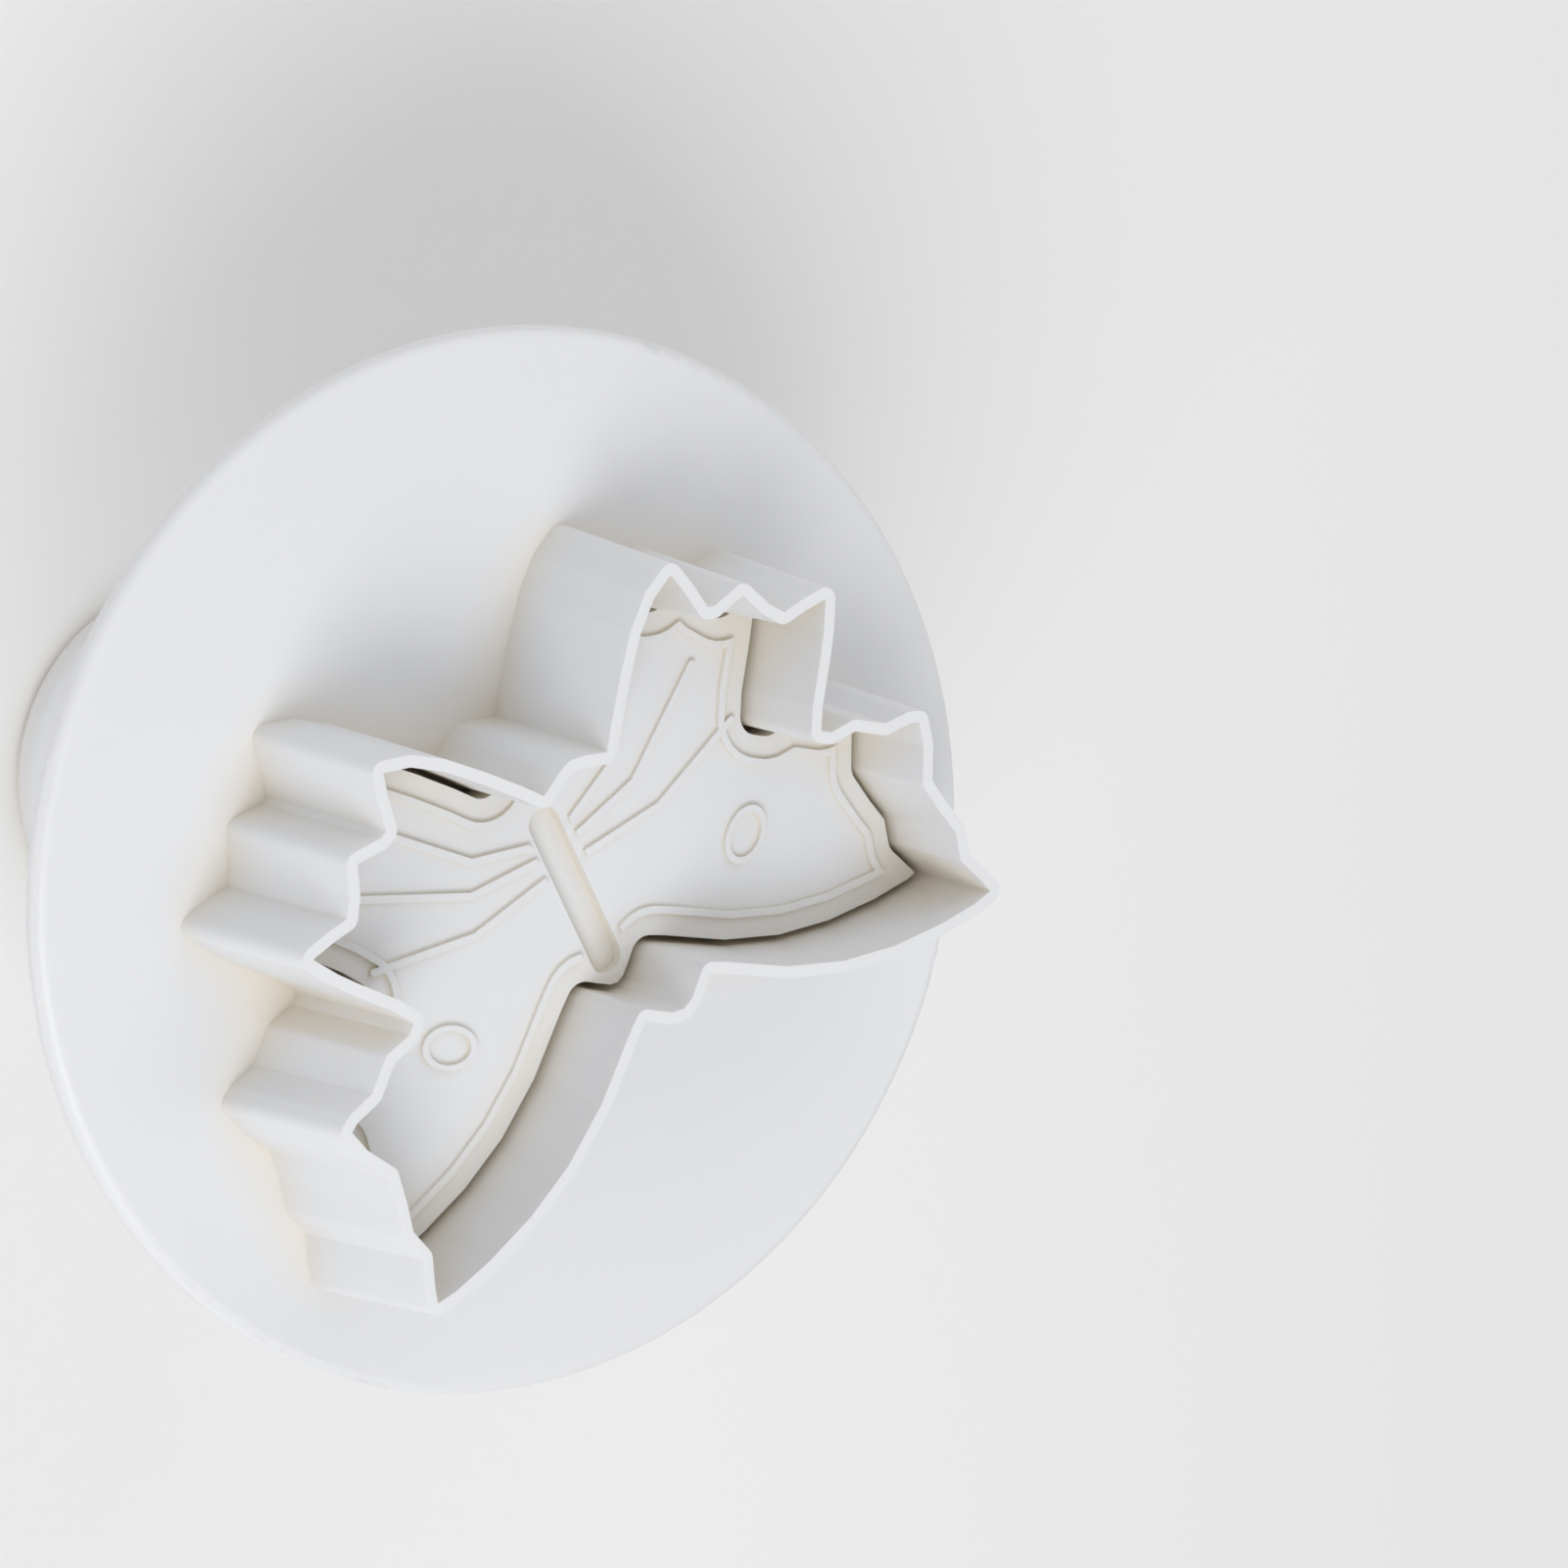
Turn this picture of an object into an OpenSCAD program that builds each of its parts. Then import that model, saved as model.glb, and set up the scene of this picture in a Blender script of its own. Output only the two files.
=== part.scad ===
// Butterfly plunger cutter: cutting wall on a round flange, sprung embossing plate, push knob.
// Stands on its knob with the cutting edge up. Origin at the centre of the knob's outer face.

/* [Flange] */
// Diameter of the round flange
flange_d = 72; // [64:1:90]
// Thickness of the flange
flange_t = 2; // [1.5:0.1:3]
// Radius of the flange's rounded rim
flange_round = 0.8; // [0.3:0.1:0.9]

/* [Cutting wall] */
// Height of the wall above the flange
wall_h = 13.6; // [10:0.2:18]
// Thickness of the wall at the cutting edge
edge_t = 0.8; // [0.6:0.1:1.2]
// How much wider the wall stands at its foot, as a ratio
foot_spread = 1.05; // [1:0.01:1.08]
// Radius that softens the scallops
scallop_r = 0.45; // [0.2:0.05:0.6]

/* [Guide barrel] */
// Height from the knob's outer face to the flange's front face
reach = 47.5; // [44:0.5:56]
// Outside diameter of the guide barrel
barrel_d = 16; // [15:0.5:20]
// Length of the guide barrel below the flange
barrel_l = 20; // [16:0.5:22]

/* [Plunger] */
// Diameter of the plunger stem
stem_d = 6; // [5:0.2:6.6]
// Radial clearance of the stem in the flange
stem_fit = 0.08; // [0.05:0.01:0.1]
// Depth of the embossing face below the cutting edge at rest
recess = 7.6; // [6.5:0.1:8]
// Thickness of the embossing plate
plate_t = 2.4; // [1.8:0.1:3]
// Gap between the plate and the wall
plate_gap = 0.5; // [0.3:0.05:0.8]
// Height of the raised veins
vein_h = 0.35; // [0.2:0.05:0.5]
// Width of the raised veins
vein_w = 0.5; // [0.4:0.05:0.8]
// Width of the recessed butterfly body
channel_w = 2.4; // [1.6:0.2:3]
// Depth of the recessed butterfly body
channel_depth = 0.9; // [0.4:0.1:1.4]

/* [Knob] */
// Diameter of the knob
knob_d = 28; // [24:1:34]
// Thickness of the knob at its lip
knob_t = 4.5; // [4:0.5:6]
// Depth of the dish on the knob's inner face
dish = 1.6; // [0.8:0.2:2]
// Diameter of the knob's hub
hub_d = 11.4; // [10.6:0.2:12]
// Radial clearance of the hub in the barrel
hub_fit = 0.1; // [0.05:0.01:0.1]
// How far the hub stands inside the barrel at rest
hub_overlap = 4; // [2:0.5:5]

/* [Spring] */
// Diameter of the spring wire
wire_d = 0.8; // [0.6:0.1:0.9]
// Number of turns
turns = 5; // [4:1:6]

/* [Hidden] */
$fn = 64;
eps = 0.01;
root = 0.4;
vein_soft = 0.06;
arc_fn = 24;
flange_low = reach - flange_t;
edge_z = reach + wall_h;
face_z = edge_z - recess;
plate_low = face_z - plate_t;
barrel_low = flange_low - barrel_l;
hub_top = barrel_low + hub_overlap;
bore_d = stem_d + 2 * stem_fit;
barrel_bore_d = hub_d + 2 * hub_fit;
boss_d = 14;
stem_low = 3;
socket_d = stem_d;
lip_w = 2.4;
lip_round = 1.6;
spring_seat = 0.3;
spring_low = hub_top + spring_seat;
spring_high = flange_low - spring_seat;
coil_r = (stem_d + barrel_bore_d) / 4;
coil_sides = 8;
steps_per_turn = 24;
outline_inset = 1.5;
eye = [13, -4.6];
eye_size = [4.2, 3];
eye_turn = 35;

// One half of the cutter's outline on the middle of the wall, tail at +Y and head at -Y
half_outline = [
  [0, 10.3], [0.8, 10.1], [2.8, 9.2], [4, 10.8], [6, 13.2], [8, 15.4], [10, 17], [12.3, 17.9],
  [12.8, 16], [13.2, 13.7], [14, 13.4], [16.5, 13.7], [17.4, 11.5], [18.3, 10.2], [20, 10.2],
  [22.4, 10], [21, 7.6], [20, 6.2], [18, 3.6], [17, 1.9], [18, 1.1], [20, 0.9], [22, -0.7],
  [24, -1], [25, -1.5], [24.5, -3.5], [23.3, -5.8], [23.7, -8], [24.2, -10], [23.7, -12],
  [24.5, -14], [25, -15.6], [23, -15.7], [20, -15.4], [16, -14.6], [12, -13.2], [8, -11],
  [6, -9.5], [4, -8], [2.8, -7.2], [2, -7.9], [1, -8.7], [0, -9]
];

// Vein paths on one wing of the plate, root first
veins = [
  [[1.2, 3.6], [6, 5.4], [11.5, 11.5]],
  [[1.2, 2.6], [7, 3.4], [14.5, 8]],
  [[1.2, 1.2], [8, 0.9], [15.5, 3]]
];

module butterfly() {
  mirrored = [for (i = [len(half_outline) - 2:-1:1]) [-half_outline[i][0], half_outline[i][1]]];
  polygon(concat(half_outline, mirrored));
}

// The outline with its scallops softened, grown by d
module soft_butterfly(d = 0) {
  offset(r = d, $fn = arc_fn)
    offset(r = -scallop_r, $fn = arc_fn)
      offset(r = 2 * scallop_r, $fn = arc_fn)
        offset(r = -scallop_r, $fn = arc_fn)
          butterfly();
}

// A round disc with a softened rim
module soft_disc(d, t, r) {
  rotate_extrude()
    union() {
      square([d / 2 - r, t]);
      translate([0, r]) square([d / 2, t - 2 * r]);
      translate([d / 2 - r, r]) circle(r, $fn = arc_fn);
      translate([d / 2 - r, t - r]) circle(r, $fn = arc_fn);
    }
}

module cutting_wall() {
  difference() {
    translate([0, 0, wall_h])
      mirror([0, 0, 1])
        linear_extrude(height = wall_h, scale = foot_spread)
          soft_butterfly(edge_t / 2);
    translate([0, 0, -eps])
      linear_extrude(height = wall_h + 2 * eps)
        soft_butterfly(-edge_t / 2);
  }
}

module cutter_body() color("white") {
  difference() {
    union() {
      translate([0, 0, flange_low]) soft_disc(flange_d, flange_t, flange_round);
      translate([0, 0, barrel_low]) cylinder(d = barrel_d, h = barrel_l + eps);
    }
    translate([0, 0, barrel_low - eps]) cylinder(d = barrel_bore_d, h = barrel_l + eps);
    translate([0, 0, flange_low - eps]) cylinder(d = bore_d, h = flange_t + 2 * eps);
  }
  translate([0, 0, reach]) cutting_wall();
}

module vein(path) {
  for (i = [0:len(path) - 2]) {
    a = path[i];
    b = path[i + 1];
    run = norm(b - a);
    translate(a) rotate(atan2(b[1] - a[1], b[0] - a[0])) translate([0, -vein_w / 2]) square([run, vein_w]);
    translate(b) circle(d = vein_w, $fn = 16);
  }
}

module eye_ring() {
  translate(eye)
    rotate(eye_turn)
      difference() {
        scale([1, eye_size[1] / eye_size[0]]) circle(d = eye_size[0], $fn = 48);
        scale([1, eye_size[1] / eye_size[0]]) circle(d = eye_size[0] - 2 * vein_w, $fn = 48);
      }
}

// Everything that stands proud on the embossing face
module relief() {
  for (side = [0, 1]) {
    mirror([side, 0, 0]) {
      for (path = veins) vein(path);
      eye_ring();
    }
  }
  difference() {
    soft_butterfly(-edge_t / 2 - plate_gap - outline_inset);
    soft_butterfly(-edge_t / 2 - plate_gap - outline_inset - vein_w);
  }
}

module body_channel() {
  tail_end = 4.5;
  head_end = -6;
  core_w = 0.2;
  offset(r = channel_w / 2 - core_w / 2, $fn = arc_fn)
    translate([-core_w / 2, head_end]) square([core_w, tail_end - head_end]);
}

module embossing_plate() color("white") {
  difference() {
    translate([0, 0, plate_low]) linear_extrude(height = plate_t) soft_butterfly(-edge_t / 2 - plate_gap);
    translate([0, 0, face_z - channel_depth]) linear_extrude(height = channel_depth + eps) body_channel();
  }
  translate([0, 0, face_z - root])
    linear_extrude(height = vein_h + root)
      offset(r = vein_soft, $fn = arc_fn)
        offset(r = -vein_soft, $fn = arc_fn)
          difference() {
            relief();
            offset(r = vein_w, $fn = arc_fn) body_channel();
          }
  translate([0, 0, reach]) cylinder(d = boss_d, h = plate_low - reach + root);
  translate([0, 0, stem_low]) cylinder(d = stem_d, h = reach - stem_low + root);
}

function coil_point(k, n) =
  [coil_r * cos(k * 360 / steps_per_turn), coil_r * sin(k * 360 / steps_per_turn),
   spring_low + wire_d / 2 + (spring_high - spring_low - wire_d) * k / n];

// A wire of round section swept up the coil
module return_spring() color("silver") {
  n = turns * steps_per_turn;
  rings = [for (k = [0:n])
    let (c = coil_point(k, n), turn = k * 360 / steps_per_turn)
      for (j = [0:coil_sides - 1])
        let (a = j * 360 / coil_sides, out = wire_d / 2 * cos(a))
          [c[0] + out * cos(turn), c[1] + out * sin(turn), c[2] + wire_d / 2 * sin(a)]];
  sides = [for (k = [0:n - 1], j = [0:coil_sides - 1])
    let (a = k * coil_sides + j, b = k * coil_sides + (j + 1) % coil_sides)
      [a, a + coil_sides, b + coil_sides, b]];
  start_cap = [for (j = [0:coil_sides - 1]) j];
  end_cap = [for (j = [coil_sides - 1:-1:0]) n * coil_sides + j];
  polyhedron(points = rings, faces = concat([start_cap], sides, [end_cap]));
}

module knob() color("white") {
  difference() {
    union() {
      difference() {
        soft_disc(knob_d, knob_t, lip_round);
        translate([0, 0, knob_t - dish]) cylinder(d = knob_d - 2 * lip_w, h = dish + eps);
      }
      translate([0, 0, knob_t - dish - eps]) cylinder(d = hub_d, h = hub_top - knob_t + dish + eps);
    }
    translate([0, 0, stem_low]) cylinder(d = socket_d, h = hub_top);
  }
}

cutter_body();
embossing_plate();
return_spring();
knob();
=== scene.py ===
import bpy
from mathutils import Matrix, Vector

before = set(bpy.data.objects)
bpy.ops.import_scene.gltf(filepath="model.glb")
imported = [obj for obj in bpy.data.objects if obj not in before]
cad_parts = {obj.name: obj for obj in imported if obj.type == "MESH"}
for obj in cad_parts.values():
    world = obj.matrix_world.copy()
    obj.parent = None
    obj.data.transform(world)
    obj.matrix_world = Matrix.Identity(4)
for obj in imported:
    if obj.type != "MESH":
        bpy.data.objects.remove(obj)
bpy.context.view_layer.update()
print("frame loaded", sorted(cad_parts))

look = {
    "skin": (0.80, 0.81, 0.83, 1.0),
    # painted shade: a warm tint laid into corners and recesses in place of bounced light
    "paintedCornerShade": (0.80, 0.75, 0.66, 1.0),
    "wire": (0.55, 0.56, 0.58, 1.0),
    "grainSize": 900.0,     # noise cells per metre
    "mottleSize": 55.0,
    "grainBump": 0.04,
    "cornerShadeReach": 0.006,   # how far the painted corner shade reaches out of a corner, metres
    "cornerShadeFull": 0.25,     # how open a spot is where the painted shade is full
    "cornerShadeGone": 0.85,     # and where it is gone
    "cornerSamples": 8,
    "plasticRough": (0.38, 0.52),
    "grainDepth": 0.0002,   # metres
    "glow": 0.15,           # share of light that passes under the skin
    "glowReach": (0.004, 0.0035, 0.003),
    "glowScale": 0.5,
    "wireRough": (0.22, 0.4),
    "wireBump": 0.02,
}

view = {
    "imageSize": 1601,
    "focal": 5600.0,        # pixels
    "sensor": 36.0,         # millimetres
    "nearest": 0.01,        # metres
    "flangeFront": 0.0475,  # height of the flange's front face above the origin, metres
    "turn": (-2.6436, 0.7034, -0.7713),
    "place": (-0.017404, 0.00553, 0.365165),
}

studio = {
    "keyPower": 1.6,
    "fillPower": 0.7,
    "world": 0.55,
    "floorTone": (0.9, 0.9, 0.9, 1.0),
    "floorRough": 0.9,
    "floorSize": 3.0,       # metres
    "keySpot": (-0.35, -0.1, 0.5),
    "keySize": 0.35,
    "fillSpot": (0.4, 0.35, 0.4),
    "fillSize": 0.5,
    "aim": (0, 0, 0.04),
}


def addNode(tree, kind, x, y):
    node = tree.nodes.new(kind)
    node.location = (x, y)
    return node


# Moulded plastic's fine grain and soft mottling, with painted warm shade deep in corners
def grainAndShadeGroup():
    tree = bpy.data.node_groups.new("grainAndPaintedCornerShade", "ShaderNodeTree")
    face = tree.interface
    for name, value in (("Grain Size", look["grainSize"]), ("Mottle Size", look["mottleSize"]),
                        ("Corner Reach", look["cornerShadeReach"])):
        face.new_socket(name=name, in_out="INPUT", socket_type="NodeSocketFloat").default_value = value
    for name in ("Skin", "Warm"):
        face.new_socket(name=name, in_out="INPUT", socket_type="NodeSocketColor")
    face.new_socket(name="Color", in_out="OUTPUT", socket_type="NodeSocketColor")
    face.new_socket(name="Roughness", in_out="OUTPUT", socket_type="NodeSocketFloat")
    face.new_socket(name="Height", in_out="OUTPUT", socket_type="NodeSocketFloat")
    start = addNode(tree, "NodeGroupInput", -900, 0)
    end = addNode(tree, "NodeGroupOutput", 700, 0)
    coord = addNode(tree, "ShaderNodeTexCoord", -900, 300)
    grain = addNode(tree, "ShaderNodeTexNoise", -600, 300)
    mottle = addNode(tree, "ShaderNodeTexNoise", -600, 0)
    # painted shade: ambient occlusion finds the corners, where the colour turns to the warm shade tint
    corner = addNode(tree, "ShaderNodeAmbientOcclusion", -600, -300)
    corner.samples = look["cornerSamples"]
    tree.links.new(coord.outputs["Object"], grain.inputs["Vector"])
    tree.links.new(coord.outputs["Object"], mottle.inputs["Vector"])
    tree.links.new(start.outputs["Grain Size"], grain.inputs["Scale"])
    tree.links.new(start.outputs["Mottle Size"], mottle.inputs["Scale"])
    tree.links.new(start.outputs["Corner Reach"], corner.inputs["Distance"])
    cornerShadeMask = addNode(tree, "ShaderNodeMapRange", -300, -300)
    cornerShadeMask.inputs["From Min"].default_value = look["cornerShadeFull"]
    cornerShadeMask.inputs["From Max"].default_value = look["cornerShadeGone"]
    tree.links.new(corner.outputs["AO"], cornerShadeMask.inputs["Value"])
    # mix of the painted corner shade and the plain skin colour
    shadedColour = addNode(tree, "ShaderNodeMix", 0, -100)
    shadedColour.data_type = "RGBA"
    tree.links.new(cornerShadeMask.outputs["Result"], shadedColour.inputs["Factor"])
    tree.links.new(start.outputs["Warm"], shadedColour.inputs["A"])
    tree.links.new(start.outputs["Skin"], shadedColour.inputs["B"])
    dull = addNode(tree, "ShaderNodeMapRange", 0, 200)
    dull.inputs["To Min"].default_value = look["plasticRough"][0]
    dull.inputs["To Max"].default_value = look["plasticRough"][1]
    tree.links.new(mottle.outputs["Fac"], dull.inputs["Value"])
    tree.links.new(shadedColour.outputs["Result"], end.inputs["Color"])
    tree.links.new(dull.outputs["Result"], end.inputs["Roughness"])
    tree.links.new(grain.outputs["Fac"], end.inputs["Height"])
    return tree


def plastic(name, group):
    mat = bpy.data.materials.new(name)
    mat.use_nodes = True
    tree = mat.node_tree
    shader = tree.nodes["Principled BSDF"]
    shader.inputs["Subsurface Weight"].default_value = look["glow"]
    shader.inputs["Subsurface Radius"].default_value = look["glowReach"]
    shader.inputs["Subsurface Scale"].default_value = look["glowScale"]
    grain = addNode(tree, "ShaderNodeGroup", -600, 200)
    grain.node_tree = group
    grain.inputs["Skin"].default_value = look["skin"]
    # the group's colour carries painted warm shade in the corners
    grain.inputs["Warm"].default_value = look["paintedCornerShade"]
    bump = addNode(tree, "ShaderNodeBump", -300, -100)
    bump.inputs["Strength"].default_value = look["grainBump"]
    bump.inputs["Distance"].default_value = look["grainDepth"]
    tree.links.new(grain.outputs["Height"], bump.inputs["Height"])
    tree.links.new(grain.outputs["Color"], shader.inputs["Base Color"])
    tree.links.new(grain.outputs["Roughness"], shader.inputs["Roughness"])
    tree.links.new(bump.outputs["Normal"], shader.inputs["Normal"])
    return mat


def springSteel():
    mat = bpy.data.materials.new("drawnWire")
    mat.use_nodes = True
    tree = mat.node_tree
    shader = tree.nodes["Principled BSDF"]
    shader.inputs["Metallic"].default_value = 1.0
    shader.inputs["Base Color"].default_value = look["wire"]
    coord = addNode(tree, "ShaderNodeTexCoord", -900, 0)
    noise = addNode(tree, "ShaderNodeTexNoise", -600, 0)
    noise.inputs["Scale"].default_value = look["grainSize"]
    rough = addNode(tree, "ShaderNodeMapRange", -300, 0)
    rough.inputs["To Min"].default_value = look["wireRough"][0]
    rough.inputs["To Max"].default_value = look["wireRough"][1]
    bump = addNode(tree, "ShaderNodeBump", -300, -250)
    bump.inputs["Strength"].default_value = look["wireBump"]
    tree.links.new(coord.outputs["Object"], noise.inputs["Vector"])
    tree.links.new(noise.outputs["Fac"], rough.inputs["Value"])
    tree.links.new(noise.outputs["Fac"], bump.inputs["Height"])
    tree.links.new(rough.outputs["Result"], shader.inputs["Roughness"])
    tree.links.new(bump.outputs["Normal"], shader.inputs["Normal"])
    return mat


def dressNode(name, mat):
    piece = bpy.data.objects[name]
    piece.data.materials.clear()
    piece.data.materials.append(mat)


# The camera looks down on the cutting side, as fitted to the flange and the wing corners
def makeCamera():
    turn = Vector(view["turn"])
    toCamera = Matrix.Rotation(turn.length, 3, turn.normalized())
    place = Vector(view["place"])
    centre = -(toCamera.transposed() @ place)
    centre.z += view["flangeFront"]
    flip = Matrix(((1, 0, 0), (0, -1, 0), (0, 0, -1)))
    data = bpy.data.cameras.new("photoView")
    data.sensor_width = view["sensor"]
    data.lens = view["focal"] * data.sensor_width / view["imageSize"]
    data.clip_start = view["nearest"]
    cam = bpy.data.objects.new("photoView", data)
    cam.matrix_world = Matrix.Translation(centre) @ (toCamera.transposed() @ flip).to_4x4()
    bpy.context.scene.collection.objects.link(cam)
    bpy.context.scene.camera = cam
    print("camera at", [round(v, 4) for v in centre])


def makeLamp(name, spot, power, size):
    data = bpy.data.lights.new(name, "AREA")
    data.energy = power
    data.size = size
    lamp = bpy.data.objects.new(name, data)
    lamp.location = spot
    aim = Vector(studio["aim"]) - Vector(spot)
    lamp.rotation_euler = aim.to_track_quat("-Z", "Y").to_euler()
    bpy.context.scene.collection.objects.link(lamp)


def makeStudio():
    half = studio["floorSize"] / 2
    mesh = bpy.data.meshes.new("floor")
    corners = [(-half, -half, 0), (half, -half, 0), (half, half, 0), (-half, half, 0)]
    mesh.from_pydata(corners, [], [(0, 1, 2, 3)])
    floor = bpy.data.objects.new("floor", mesh)
    bpy.context.scene.collection.objects.link(floor)
    mat = bpy.data.materials.new("paleFloor")
    mat.use_nodes = True
    shader = mat.node_tree.nodes["Principled BSDF"]
    shader.inputs["Base Color"].default_value = studio["floorTone"]
    shader.inputs["Roughness"].default_value = studio["floorRough"]
    mesh.materials.append(mat)
    world = bpy.data.worlds.new("softRoom")
    world.use_nodes = True
    bpy.context.scene.world = world
    world.node_tree.nodes["Background"].inputs["Color"].default_value = (1, 1, 1, 1)
    world.node_tree.nodes["Background"].inputs["Strength"].default_value = studio["world"]
    makeLamp("keyLamp", studio["keySpot"], studio["keyPower"], studio["keySize"])
    makeLamp("fillLamp", studio["fillSpot"], studio["fillPower"], studio["fillSize"])


bpy.context.scene.view_settings.view_transform = "Standard"
grain = grainAndShadeGroup()
whitePlastic = plastic("whitePlastic", grain)
for name in ("cutter_body", "embossing_plate", "knob"):
    dressNode(name, whitePlastic)
dressNode("return_spring", springSteel())
print("finishes on")
makeCamera()
makeStudio()
print("camera and lamps set")
